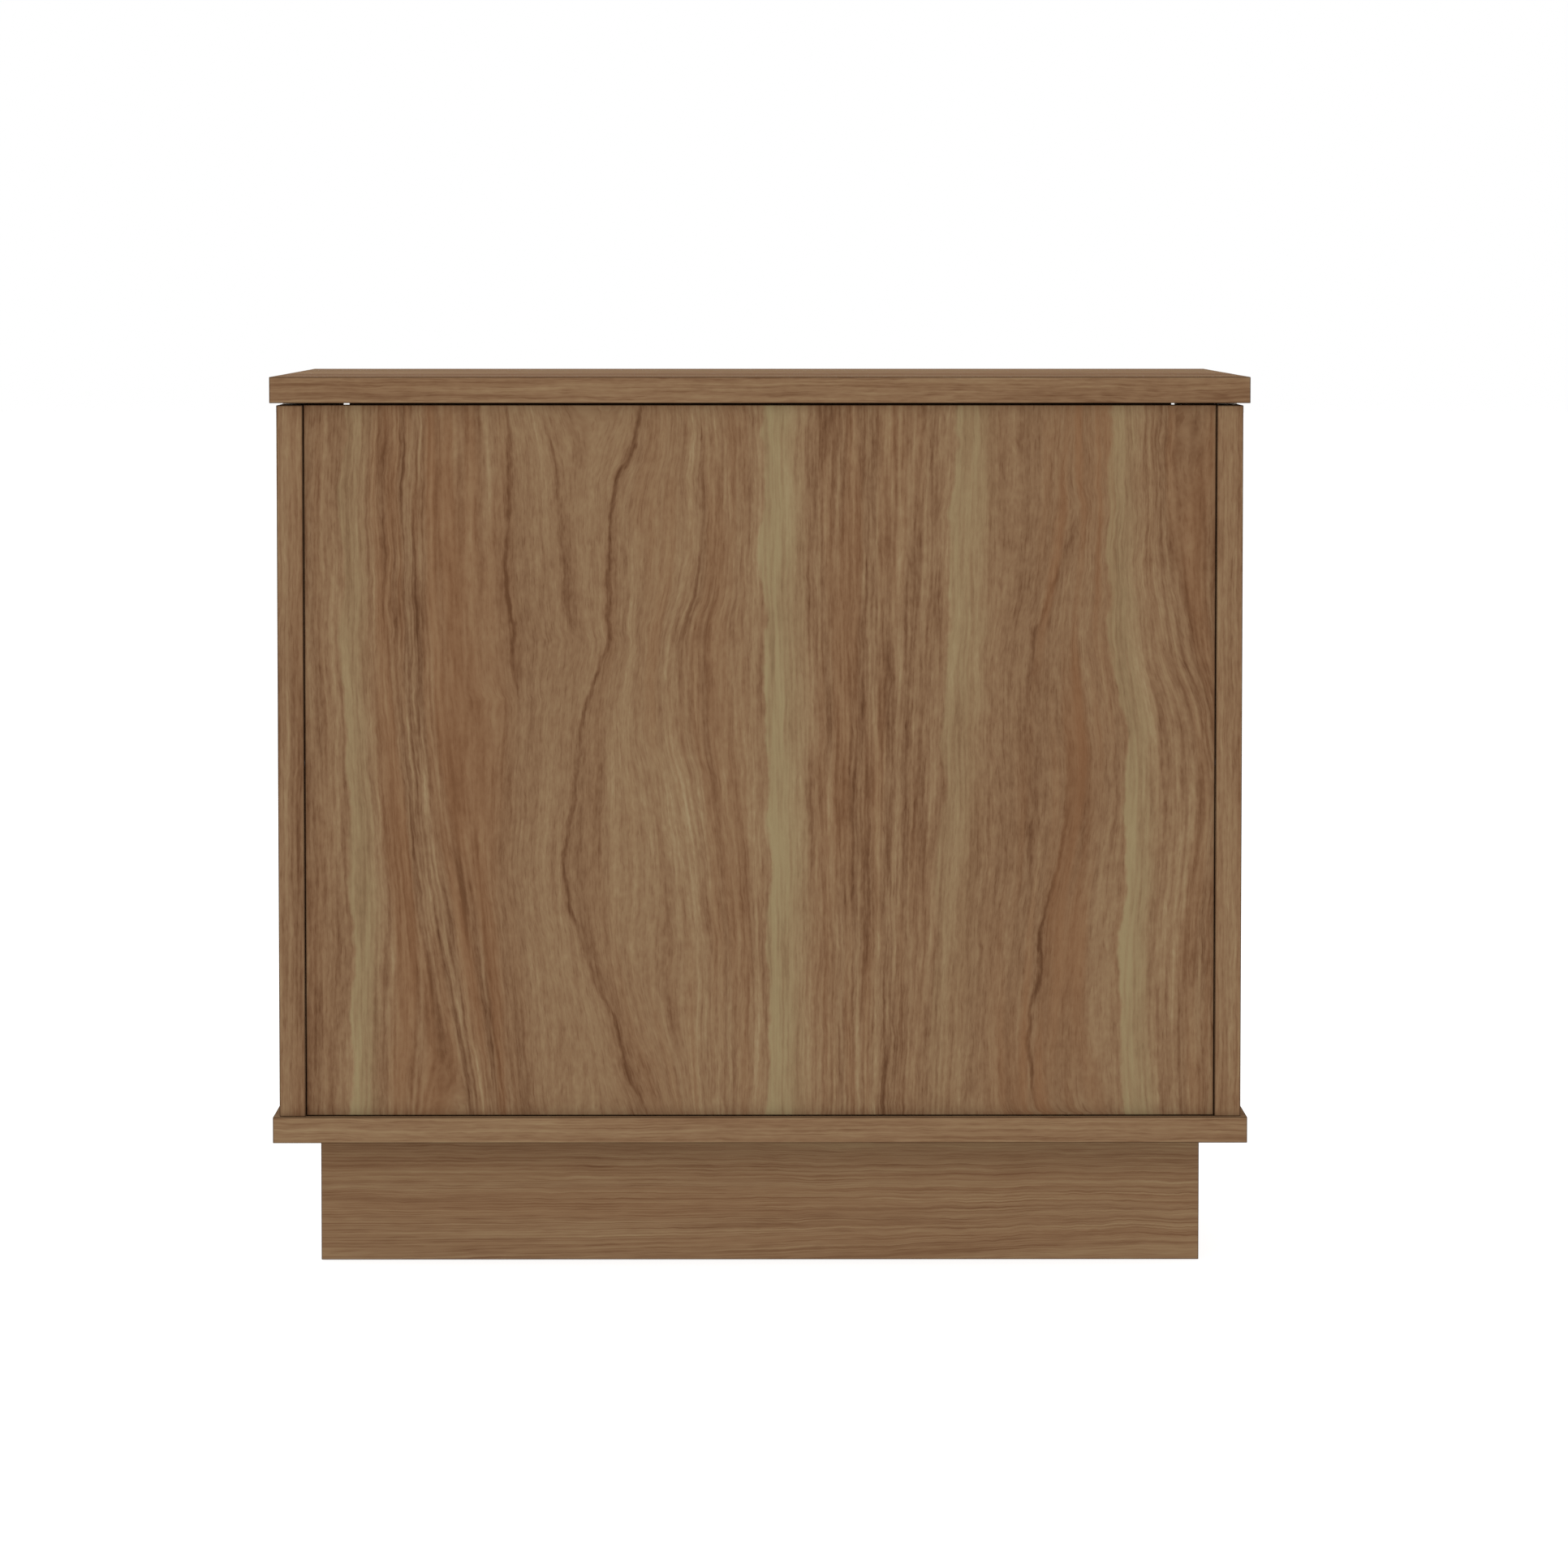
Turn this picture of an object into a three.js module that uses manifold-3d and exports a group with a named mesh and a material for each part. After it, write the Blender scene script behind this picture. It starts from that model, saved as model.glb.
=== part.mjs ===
// A low cabinet on a recessed plinth, with one inset door on pivot pins, an adjustable shelf
// and the knock-down fittings that hold its boards together.
//
// Millimetres. +Z is up, the door faces -Y and the back panel faces +Y.
// The origin is on the floor, under the middle of the cabinet.

import * as THREE from "three";
import { mergeVertices } from "three/addons/utils/BufferGeometryUtils.js";
import Module from "manifold-3d";

const wasm = await Module();
wasm.setup();

// ---------------------------------------------------------------- driving dimensions

const width = 600; // top and bottom board, along X
const depth = 450; // top and bottom board, along Y
const height = 547; // floor to top surface
const board = 16; // thickness of every board

const overhang = 4; // top and bottom board past the side panels
const plinthHeight = 76;
const plinthInset = 28; // plinth behind the board edges, on all four sides
const topSlot = 1.375; // shadow gap between side panels and top board
const fitGap = 0.3; // between a fitting and the hole it sits in
const overrun = 1; // how far a cutting shape starts outside the board it cuts

const backRecess = 2; // back panel behind the side panels' rear edges
const backSideGap = 0.5; // back panel to each side panel
const backBottomGap = 0.5; // back panel to the bottom board
const backTopGap = 1.125; // back panel to the top board

const hingeReveal = 3; // door to the left side panel
const latchReveal = 4.75; // door to the right side panel
const doorEndGap = 3; // door to the top and the bottom board
const pivotFromEdge = 8; // pivot axis from the door's hinge edge
const pivotFromFront = 6; // pivot axis behind the door's front face

const shelfTop = 319;
const shelfFrontSetback = 31; // shelf behind the side panels' front edges
const shelfBackGap = 3; // shelf to the back panel
const shelfSideGap = 1;

// ---------------------------------------------------------------- planes that follow from them

const halfWidth = width / 2;
const halfDepth = depth / 2;
const bottomTop = plinthHeight + board;
const topUnder = height - board;
const sideTop = topUnder - topSlot;
const sideOuter = halfWidth - overhang;
const sideInner = sideOuter - board;
const sideMiddle = sideOuter - board / 2;
const sideRear = halfDepth - overhang;

const backOuter = sideRear - backRecess;
const backInner = backOuter - board;
const backMiddle = backOuter - board / 2;
const backHalfWidth = sideInner - backSideGap;
const backBottom = bottomTop + backBottomGap;

const doorFront = -sideRear;
const doorRear = doorFront + board;
const doorHingeEdge = -sideInner + hingeReveal;
const doorLatchEdge = sideInner - latchReveal;
const doorBottom = bottomTop + doorEndGap;
const doorTop = topUnder - doorEndGap;
const doorMiddleZ = (doorBottom + doorTop) / 2;
const pivotX = doorHingeEdge + pivotFromEdge;
const pivotY = doorFront + pivotFromFront;

const plinthHalfX = halfWidth - plinthInset;
const plinthHalfY = halfDepth - plinthInset;
const shelfUnder = shelfTop - board;

// ---------------------------------------------------------------- fittings

const camLock = { radius: 7.2, thickness: 12, fromEdge: 34, slotWidth: 1.6, slotDepth: 2.5 };
const camBolt = {
  threadRadius: 2.2,
  threadLength: 10,
  neckRadius: 2.9,
  headRadius: 3.4,
  headLength: 3,
};
const camRowY = 170; // cam fittings and base screws, each side of the middle
const backCamZ = 310;
const spacer = { outerRadius: 7.5, innerRadius: 3.3 };

const baseScrew = { radius: 3, length: 50, headRadius: 5, headLength: 4, recess: 1 };
const plinthScrew = { radius: 1.9, length: 50, headRadius: 3.8, headLength: 2.5, recess: 2 };
const cornerBlock = { side: 20, height: 40 };
const dowel = { radius: 4, length: 30, fromMiddle: 180, inBottomBoard: 12 };

const shelfPin = { radius: 2.4, inBoard: 10, reach: 9, paddleWidth: 10, paddleThickness: 3 };
const shelfPinDrop = 2.5; // pin axis under the shelf
const shelfPinY = 150;
const shelfHole = { pitch: 32, spares: 2, depth: 12 }; // spares above and below the one in use

const pivot = { radius: 2.5, length: 12, spigotRadius: 3, spigotLength: 11, flangeRadius: 6.5 };
const bottomFlange = 2.7; // carries the door
const topFlange = 1;
const bush = { outerRadius: 4, length: 14 };

const handle = { section: 10, chamfer: 1.5, length: 160, holeSpacing: 128, standOff: 30 };
const handlePostRadius = 4.5;
const handleFromLatchEdge = 40.25;
const handleScrew = { radius: 2, headRadius: 4, headLength: 2.25, inPost: 10 };

const housing = { reach: 16, along: 22, tall: 40, pocketDepth: 12 };
const magnet = { reach: 9, tall: 28, proud: 0.5 };
const strike = { side: 14, tall: 34, thickness: 1.5 };
const catchZ = 470; // middle of the catch
const magnetGap = 0.3; // magnet to the closed door's strike plate

const roundSides = 16;
const smallRoundSides = 10;

// ---------------------------------------------------------------- materials

function material(color, roughness, metalness) {
  return () => new THREE.MeshStandardMaterial({ color, roughness, metalness });
}

const walnutFace = material("#846850", 0.55, 0);
const walnutEdge = material("#83674b", 0.6, 0);
const plinthWood = material("#7c5f45", 0.6, 0);
const beech = material("#c9a577", 0.7, 0);
const zinc = material("#b4b6b8", 0.35, 1);
const steel = material("#9a9c9f", 0.3, 1);
const handleMetal = material("#4b4640", 0.35, 1);
const whitePlastic = material("#d9d7d0", 0.45, 0);
const brownPlastic = material("#5b4635", 0.5, 0);
const magnetBlack = material("#2e2e30", 0.5, 0.6);

// ---------------------------------------------------------------- shape tools

const yAxis = new THREE.Vector3(0, 1, 0);
const front = new THREE.Vector3(0, -1, 0);
const rear = new THREE.Vector3(0, 1, 0);
const up = new THREE.Vector3(0, 0, 1);
const down = new THREE.Vector3(0, 0, -1);

// The direction along X, to the left for -1 and to the right for 1.
function sideways(sign) {
  return new THREE.Vector3(sign, 0, 0);
}

function at(x, y, z) {
  return new THREE.Vector3(x, y, z);
}

function moved(point, direction, distance) {
  return point.clone().addScaledVector(direction, distance);
}

// A closed three.js geometry as a manifold solid, for cutting and joining.
function solid(geometry) {
  geometry.deleteAttribute("normal");
  geometry.deleteAttribute("uv");
  const merged = mergeVertices(geometry, 1e-4);
  return new wasm.Manifold(
    new wasm.Mesh({
      numProp: 3,
      vertProperties: merged.attributes.position.array,
      triVerts: new Uint32Array(merged.index.array),
    }),
  );
}

// A manifold solid as a three.js geometry.
function geometryOf(made) {
  const mesh = made.getMesh();
  const geometry = new THREE.BufferGeometry();
  geometry.setAttribute("position", new THREE.BufferAttribute(mesh.vertProperties, 3));
  geometry.setIndex(new THREE.BufferAttribute(mesh.triVerts, 1));
  geometry.computeVertexNormals();
  return geometry;
}

// A box between two opposite corners, given in any order.
function box(corner, opposite) {
  const extent = new THREE.Box3().setFromPoints([corner, opposite]);
  const size = extent.getSize(new THREE.Vector3());
  const middle = extent.getCenter(new THREE.Vector3());
  const geometry = new THREE.BoxGeometry(size.x, size.y, size.z);
  return solid(geometry.translate(middle.x, middle.y, middle.z));
}

// A round bar from one point, along a unit direction.
function rod(radius, start, direction, length, sides = roundSides) {
  const geometry = new THREE.CylinderGeometry(radius, radius, length, sides);
  geometry.translate(0, length / 2, 0);
  geometry.applyQuaternion(new THREE.Quaternion().setFromUnitVectors(yAxis, direction));
  return solid(geometry.translate(start.x, start.y, start.z));
}

// The cutter for a blind hole: a bar that starts just outside the mouth.
function hole(radius, mouth, inward, holeDepth, sides = roundSides) {
  return rod(radius, moved(mouth, inward, -overrun), inward, holeDepth + overrun, sides);
}

function join(first, ...others) {
  return others.reduce((whole, other) => whole.add(other), first);
}

function cut(first, ...others) {
  return others.reduce((whole, other) => whole.subtract(other), first);
}

const cabinet = new THREE.Group();

// Adds one named piece to the cabinet.
function piece(name, made, makeMaterial) {
  const mesh = new THREE.Mesh(geometryOf(made), makeMaterial());
  mesh.name = name;
  cabinet.add(mesh);
}

const sides = [
  { name: "left", sign: -1 },
  { name: "right", sign: 1 },
];
const ends = [
  { name: "front", sign: -1 },
  { name: "rear", sign: 1 },
];
const corners = sides.flatMap((side) =>
  ends.map((end) => ({ name: `${side.name}_${end.name}`, sx: side.sign, sy: end.sign })),
);

// ---------------------------------------------------------------- cam fittings

const topCamZ = sideTop - camLock.fromEdge;
const backCamX = backHalfWidth - camLock.fromEdge;
const threadBore = camBolt.threadRadius + fitGap;
const threadBoreDepth = camBolt.threadLength + fitGap;
const boltBore = camBolt.headRadius + fitGap;
const camBore = camLock.radius + fitGap;
const camBoreDepth = camLock.thickness + 2 * fitGap;

// A cam bolt: its thread goes into the board whose face is at mouth, and its neck crosses
// the gap to reach the cam lock in the other board.
function camBoltSolid(mouth, intoBoard, gap) {
  const outOfBoard = intoBoard.clone().negate();
  const neckLength = gap + camLock.fromEdge - camBolt.headLength / 2;
  const threadStart = moved(mouth, outOfBoard, overrun);
  return join(
    rod(camBolt.threadRadius, threadStart, intoBoard, camBolt.threadLength + overrun),
    rod(camBolt.neckRadius, mouth, outOfBoard, neckLength),
    rod(camBolt.headRadius, moved(mouth, outOfBoard, neckLength), outOfBoard, camBolt.headLength),
  );
}

// A cam lock: a drum with a screwdriver slot in its face and a pocket for the bolt's head.
// The drum sits in the board whose face is at face, and the bolt comes in from towardBolt.
function camLockSolid(face, inward, towardBolt) {
  const drumFace = moved(face, inward, fitGap);
  const pocketEnd = moved(face, inward, board / 2);
  const pocketReach = camBolt.headLength / 2 + fitGap;
  const slotAlong = new THREE.Vector3().crossVectors(inward, towardBolt);
  const slotCorner = moved(drumFace, slotAlong, camLock.radius);
  const slotOpposite = moved(drumFace, slotAlong, -camLock.radius);
  return cut(
    rod(camLock.radius, drumFace, inward, camLock.thickness),
    rod(
      boltBore,
      moved(pocketEnd, towardBolt, -pocketReach),
      towardBolt,
      pocketReach + camLock.radius + overrun,
    ),
    box(
      moved(moved(slotCorner, towardBolt, camLock.slotWidth / 2), inward, -overrun),
      moved(moved(slotOpposite, towardBolt, -camLock.slotWidth / 2), inward, camLock.slotDepth),
    ),
  );
}

function spacerSolid(x, y) {
  return cut(
    rod(spacer.outerRadius, at(x, y, sideTop), up, topSlot),
    hole(spacer.innerRadius, at(x, y, sideTop), up, topSlot + overrun),
  );
}

// ---------------------------------------------------------------- top board

function topPanel() {
  return cut(
    box(at(-halfWidth, -halfDepth, topUnder), at(halfWidth, halfDepth, height)),
    ...corners.map(({ sx, sy }) =>
      hole(threadBore, at(sx * sideMiddle, sy * camRowY, topUnder), up, threadBoreDepth),
    ),
    hole(
      pivot.spigotRadius + fitGap,
      at(pivotX, pivotY, topUnder),
      up,
      pivot.spigotLength + fitGap,
    ),
  );
}

// ---------------------------------------------------------------- side panels

const shelfPinZ = shelfUnder - shelfPinDrop;
const screwTip = plinthHeight + baseScrew.recess + baseScrew.length;

// Two columns of shelf holes in a side panel, one for each row of shelf pins.
function shelfHoles(sign) {
  const cutters = [];
  for (const end of ends) {
    for (let step = -shelfHole.spares; step <= shelfHole.spares; step++) {
      const mouth = at(
        sign * sideInner,
        end.sign * shelfPinY,
        shelfPinZ + step * shelfHole.pitch,
      );
      const radius = shelfPin.radius + fitGap;
      cutters.push(hole(radius, mouth, sideways(sign), shelfHole.depth, smallRoundSides));
    }
  }
  return cutters;
}

function sidePanel(sign) {
  const cutters = shelfHoles(sign);
  for (const end of ends) {
    const y = end.sign * camRowY;
    const middle = sign * sideMiddle;
    const screwRadius = baseScrew.radius + fitGap;
    cutters.push(
      hole(camBore, at(sign * sideInner, y, topCamZ), sideways(sign), camBoreDepth),
      hole(boltBore, at(middle, y, sideTop), down, camLock.fromEdge),
      hole(screwRadius, at(middle, y, bottomTop), up, screwTip + fitGap - bottomTop),
    );
  }
  const backBoltMouth = at(sign * sideInner, backMiddle, backCamZ);
  cutters.push(hole(threadBore, backBoltMouth, sideways(sign), threadBoreDepth));
  return cut(
    box(at(sign * sideInner, -sideRear, bottomTop), at(sign * sideOuter, sideRear, sideTop)),
    ...cutters,
  );
}

// ---------------------------------------------------------------- bottom board, screws, blocks

const blockX = plinthHalfX - board - cornerBlock.side / 2;
const blockY = plinthHalfY - board - cornerBlock.side / 2;
const blockBottom = plinthHeight - cornerBlock.height;
const plinthScrewHead = blockBottom + plinthScrew.recess;
const plinthScrewTip = plinthScrewHead + plinthScrew.length;
const dowelBottom = bottomTop - dowel.inBottomBoard;
const dowelTop = dowelBottom + dowel.length;

// The cutter for a screw's head, from the face that the head goes into.
function headHole(screw, mouth, sidesOfHole = roundSides) {
  const holeDepth = screw.recess + screw.headLength + fitGap;
  return hole(screw.headRadius + fitGap, mouth, up, holeDepth, sidesOfHole);
}

function bottomPanel() {
  const cutters = corners.flatMap(({ sx, sy }) => {
    const screwMouth = at(sx * sideMiddle, sy * camRowY, plinthHeight);
    const blockMouth = at(sx * blockX, sy * blockY, plinthHeight);
    const pilotDepth = plinthScrewTip + fitGap - plinthHeight;
    return [
      hole(baseScrew.radius + fitGap, screwMouth, up, board + overrun),
      headHole(baseScrew, screwMouth),
      hole(plinthScrew.radius + fitGap, blockMouth, up, pilotDepth, smallRoundSides),
    ];
  });
  for (const { sign } of sides) {
    const mouth = at(sign * dowel.fromMiddle, backMiddle, bottomTop);
    cutters.push(hole(dowel.radius + fitGap, mouth, down, dowel.inBottomBoard + fitGap));
  }
  const spigotMouth = at(pivotX, pivotY, bottomTop);
  cutters.push(
    hole(pivot.spigotRadius + fitGap, spigotMouth, down, pivot.spigotLength + fitGap),
  );
  return cut(
    box(at(-halfWidth, -halfDepth, plinthHeight), at(halfWidth, halfDepth, bottomTop)),
    ...cutters,
  );
}

// A screw pointing up, with a cross recess in its flat head.
function screwUp(screw, x, y, headZ) {
  const long = screw.headRadius * 0.55;
  const narrow = screw.headRadius * 0.16;
  const recessTop = headZ + screw.headLength / 2;
  return cut(
    join(
      rod(screw.headRadius, at(x, y, headZ), up, screw.headLength),
      rod(screw.radius, at(x, y, headZ), up, screw.length),
    ),
    box(at(x - long, y - narrow, headZ - overrun), at(x + long, y + narrow, recessTop)),
    box(at(x - narrow, y - long, headZ - overrun), at(x + narrow, y + long, recessTop)),
  );
}

function cornerBlockSolid(sx, sy) {
  const x = sx * blockX;
  const y = sy * blockY;
  const half = cornerBlock.side / 2;
  const mouth = at(x, y, blockBottom);
  const shankRadius = plinthScrew.radius + fitGap;
  return cut(
    box(at(x - half, y - half, blockBottom), at(x + half, y + half, plinthHeight)),
    hole(shankRadius, mouth, up, cornerBlock.height + overrun, smallRoundSides),
    headHole(plinthScrew, mouth, smallRoundSides),
  );
}

// ---------------------------------------------------------------- back panel

function backPanel() {
  const cutters = sides.flatMap(({ sign }) => [
    hole(camBore, at(sign * backCamX, backInner, backCamZ), rear, camBoreDepth),
    hole(
      boltBore,
      at(sign * backHalfWidth, backMiddle, backCamZ),
      sideways(-sign),
      camLock.fromEdge,
    ),
    hole(
      dowel.radius + fitGap,
      at(sign * dowel.fromMiddle, backMiddle, backBottom),
      up,
      dowelTop + fitGap - backBottom,
    ),
  ]);
  return cut(
    box(
      at(-backHalfWidth, backInner, backBottom),
      at(backHalfWidth, backOuter, topUnder - backTopGap),
    ),
    ...cutters,
  );
}

// ---------------------------------------------------------------- plinth

// The front and rear rails run the full width.
function crossRail(sign) {
  const outerY = sign * plinthHalfY;
  const innerY = sign * (plinthHalfY - board);
  return box(at(-plinthHalfX, outerY, 0), at(plinthHalfX, innerY, plinthHeight));
}

// A rail from the front rail to the rear rail, between two places along X.
function endToEndRail(fromX, toX) {
  const reach = plinthHalfY - board;
  return box(at(fromX, -reach, 0), at(toX, reach, plinthHeight));
}

// ---------------------------------------------------------------- shelf

function shelfPanel() {
  const halfShelf = sideInner - shelfSideGap;
  return box(
    at(-halfShelf, -sideRear + shelfFrontSetback, shelfUnder),
    at(halfShelf, backInner - shelfBackGap, shelfTop),
  );
}

// A shelf support: a pin in the side panel and a flat paddle under the shelf.
function shelfPinSolid(sx, sy) {
  const y = sy * shelfPinY;
  const tipX = sx * (sideInner - shelfPin.reach);
  const half = shelfPin.paddleWidth / 2;
  const underPaddle = shelfUnder - shelfPin.paddleThickness;
  return join(
    rod(
      shelfPin.radius,
      at(tipX, y, shelfPinZ),
      sideways(sx),
      shelfPin.reach + shelfPin.inBoard,
    ),
    box(at(tipX, y - half, underPaddle), at(sx * sideInner, y + half, shelfUnder)),
  );
}

// ---------------------------------------------------------------- door and pivots

const handleX = doorLatchEdge - handleFromLatchEdge;
const handleFront = doorFront - handle.standOff;
const handleRear = handleFront + handle.section;
const handleRows = [
  { name: "lower", z: doorMiddleZ - handle.holeSpacing / 2 },
  { name: "upper", z: doorMiddleZ + handle.holeSpacing / 2 },
];
const handleScrewBore = handleScrew.radius + fitGap;

function doorPanel() {
  const bushBore = bush.outerRadius + fitGap;
  const bushDepth = bush.length + fitGap;
  return cut(
    box(at(doorHingeEdge, doorFront, doorBottom), at(doorLatchEdge, doorRear, doorTop)),
    hole(bushBore, at(pivotX, pivotY, doorBottom), up, bushDepth),
    hole(bushBore, at(pivotX, pivotY, doorTop), down, bushDepth),
    ...handleRows.map(({ z }) =>
      hole(handleScrewBore, at(handleX, doorFront, z), rear, board + overrun, smallRoundSides),
    ),
  );
}

// A pivot: a spigot in the fixed board, a flange on its face and a pin into the door's bush.
function pivotPin(boardFaceZ, towardDoor, flange) {
  const intoBoard = towardDoor.clone().negate();
  const onFace = at(pivotX, pivotY, boardFaceZ);
  return join(
    rod(pivot.flangeRadius, onFace, towardDoor, flange),
    rod(pivot.radius, onFace, towardDoor, flange + pivot.length),
    hole(pivot.spigotRadius, onFace, intoBoard, pivot.spigotLength),
  );
}

function doorBush(doorEndZ, inward) {
  const mouth = at(pivotX, pivotY, doorEndZ);
  return cut(
    rod(bush.outerRadius, mouth, inward, bush.length),
    hole(pivot.radius + fitGap, mouth, inward, bush.length + overrun),
  );
}

// ---------------------------------------------------------------- handle

// The bar is a square section with a chamfer along each long edge.
function handleBar() {
  const half = handle.section / 2;
  const flat = half - handle.chamfer;
  const outline = new THREE.Shape([
    new THREE.Vector2(-flat, -half),
    new THREE.Vector2(flat, -half),
    new THREE.Vector2(half, -flat),
    new THREE.Vector2(half, flat),
    new THREE.Vector2(flat, half),
    new THREE.Vector2(-flat, half),
    new THREE.Vector2(-half, flat),
    new THREE.Vector2(-half, -flat),
  ]);
  const bar = new THREE.ExtrudeGeometry(outline, { depth: handle.length, bevelEnabled: false });
  bar.translate(handleX, handleFront + half, doorMiddleZ - handle.length / 2);
  return solid(bar);
}

function handlePost(z) {
  const onDoor = at(handleX, doorFront, z);
  return cut(
    rod(handlePostRadius, onDoor, front, doorFront - handleRear),
    hole(handleScrewBore, onDoor, front, handleScrew.inPost + fitGap, smallRoundSides),
  );
}

function handleScrewSolid(z) {
  const underHead = at(handleX, doorRear, z);
  return join(
    rod(handleScrew.headRadius, underHead, rear, handleScrew.headLength),
    hole(handleScrew.radius, underHead, front, board + handleScrew.inPost, smallRoundSides),
  );
}

// ---------------------------------------------------------------- magnetic catch

const strikeRear = doorRear + strike.thickness;
const magnetFront = strikeRear + magnetGap;
const housingFront = magnetFront + magnet.proud;
const pocketEnd = housingFront + housing.pocketDepth;
const catchX = sideInner - housing.reach / 2;

// A box centred on the catch in X and Z, between two places along Y.
function catchBox(sizeX, sizeZ, fromY, toY) {
  return box(
    at(catchX - sizeX / 2, fromY, catchZ - sizeZ / 2),
    at(catchX + sizeX / 2, toY, catchZ + sizeZ / 2),
  );
}

function catchHousing() {
  const pocketX = magnet.reach + 2 * fitGap;
  const pocketZ = magnet.tall + 2 * fitGap;
  return cut(
    catchBox(housing.reach, housing.tall, housingFront, housingFront + housing.along),
    catchBox(pocketX, pocketZ, housingFront - overrun, pocketEnd),
  );
}

// ---------------------------------------------------------------- the assembly

piece("top_panel", topPanel(), walnutFace);
piece("bottom_panel", bottomPanel(), walnutFace);
piece("back_panel", backPanel(), walnutFace);
piece("shelf_panel", shelfPanel(), walnutFace);
for (const { name, sign } of sides) {
  piece(`${name}_side_panel`, sidePanel(sign), walnutEdge);
}

piece("plinth_front_rail", crossRail(-1), plinthWood);
piece("plinth_rear_rail", crossRail(1), plinthWood);
for (const { name, sign } of sides) {
  const rail = endToEndRail(sign * plinthHalfX, sign * (plinthHalfX - board));
  piece(`plinth_${name}_rail`, rail, plinthWood);
}
piece("plinth_middle_stretcher", endToEndRail(-board / 2, board / 2), plinthWood);

for (const { name, sx, sy } of corners) {
  const x = sx * sideMiddle;
  const y = sy * camRowY;
  const camFace = at(sx * sideInner, y, topCamZ);
  piece(`top_spacer_${name}`, spacerSolid(x, y), whitePlastic);
  piece(`top_cam_bolt_${name}`, camBoltSolid(at(x, y, topUnder), up, topSlot), zinc);
  piece(`top_cam_lock_${name}`, camLockSolid(camFace, sideways(sx), up), zinc);
  piece(`base_screw_${name}`, screwUp(baseScrew, x, y, plinthHeight + baseScrew.recess), zinc);
  piece(`plinth_corner_block_${name}`, cornerBlockSolid(sx, sy), beech);
  piece(
    `plinth_screw_${name}`,
    screwUp(plinthScrew, sx * blockX, sy * blockY, plinthScrewHead),
    zinc,
  );
  piece(`shelf_pin_${name}`, shelfPinSolid(sx, sy), steel);
}

for (const { name, sign } of sides) {
  const boltMouth = at(sign * sideInner, backMiddle, backCamZ);
  const camFace = at(sign * backCamX, backInner, backCamZ);
  const dowelStart = at(sign * dowel.fromMiddle, backMiddle, dowelBottom);
  piece(`back_cam_bolt_${name}`, camBoltSolid(boltMouth, sideways(sign), backSideGap), zinc);
  piece(`back_cam_lock_${name}`, camLockSolid(camFace, rear, sideways(sign)), zinc);
  piece(`back_dowel_${name}`, rod(dowel.radius, dowelStart, up, dowel.length), beech);
}

piece("door_panel", doorPanel(), walnutFace);
piece("bottom_pivot_pin", pivotPin(bottomTop, up, bottomFlange), steel);
piece("top_pivot_pin", pivotPin(topUnder, down, topFlange), steel);
piece("door_bottom_bush", doorBush(doorBottom, up), brownPlastic);
piece("door_top_bush", doorBush(doorTop, down), brownPlastic);

piece("handle_bar", handleBar(), handleMetal);
for (const { name, z } of handleRows) {
  piece(`handle_post_${name}`, handlePost(z), handleMetal);
  piece(`handle_screw_${name}`, handleScrewSolid(z), zinc);
}

piece("catch_housing", catchHousing(), brownPlastic);
piece(
  "catch_magnet",
  catchBox(magnet.reach, magnet.tall, magnetFront, pocketEnd - fitGap),
  magnetBlack,
);
piece("strike_plate", catchBox(strike.side, strike.tall, doorRear, strikeRear), steel);

export default cabinet;
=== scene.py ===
# The looks of the low cabinet: boards with their wood pattern, turned and pressed fittings,
# a pale floor, soft light and the camera. Metres, in the frame of the CAD model: +Z is up,
# the door faces -Y and the plain back, which the camera sees, faces +Y.
import math

import bmesh
import bpy
from mathutils import Matrix, Vector


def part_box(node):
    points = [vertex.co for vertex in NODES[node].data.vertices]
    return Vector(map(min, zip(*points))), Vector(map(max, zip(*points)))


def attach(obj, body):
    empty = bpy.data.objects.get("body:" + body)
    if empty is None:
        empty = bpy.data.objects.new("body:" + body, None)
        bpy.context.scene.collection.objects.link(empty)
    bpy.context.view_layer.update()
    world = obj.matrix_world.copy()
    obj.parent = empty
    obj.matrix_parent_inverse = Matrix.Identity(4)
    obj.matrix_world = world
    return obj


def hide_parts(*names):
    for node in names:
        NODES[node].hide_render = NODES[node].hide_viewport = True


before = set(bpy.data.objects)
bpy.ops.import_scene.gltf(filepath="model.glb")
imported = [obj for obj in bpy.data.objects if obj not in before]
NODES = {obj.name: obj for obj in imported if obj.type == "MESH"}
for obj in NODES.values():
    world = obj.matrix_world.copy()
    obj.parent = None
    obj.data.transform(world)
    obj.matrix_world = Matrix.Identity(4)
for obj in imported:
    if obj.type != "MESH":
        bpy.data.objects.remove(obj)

for leftover in ("Cube", "Light", "Camera"):
    if leftover in bpy.data.objects:
        bpy.data.objects.remove(bpy.data.objects[leftover])
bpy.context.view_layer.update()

MM = 0.001
X, Y, Z = 0, 1, 2


# ---------------------------------------------------------------- node tree helper


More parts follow.
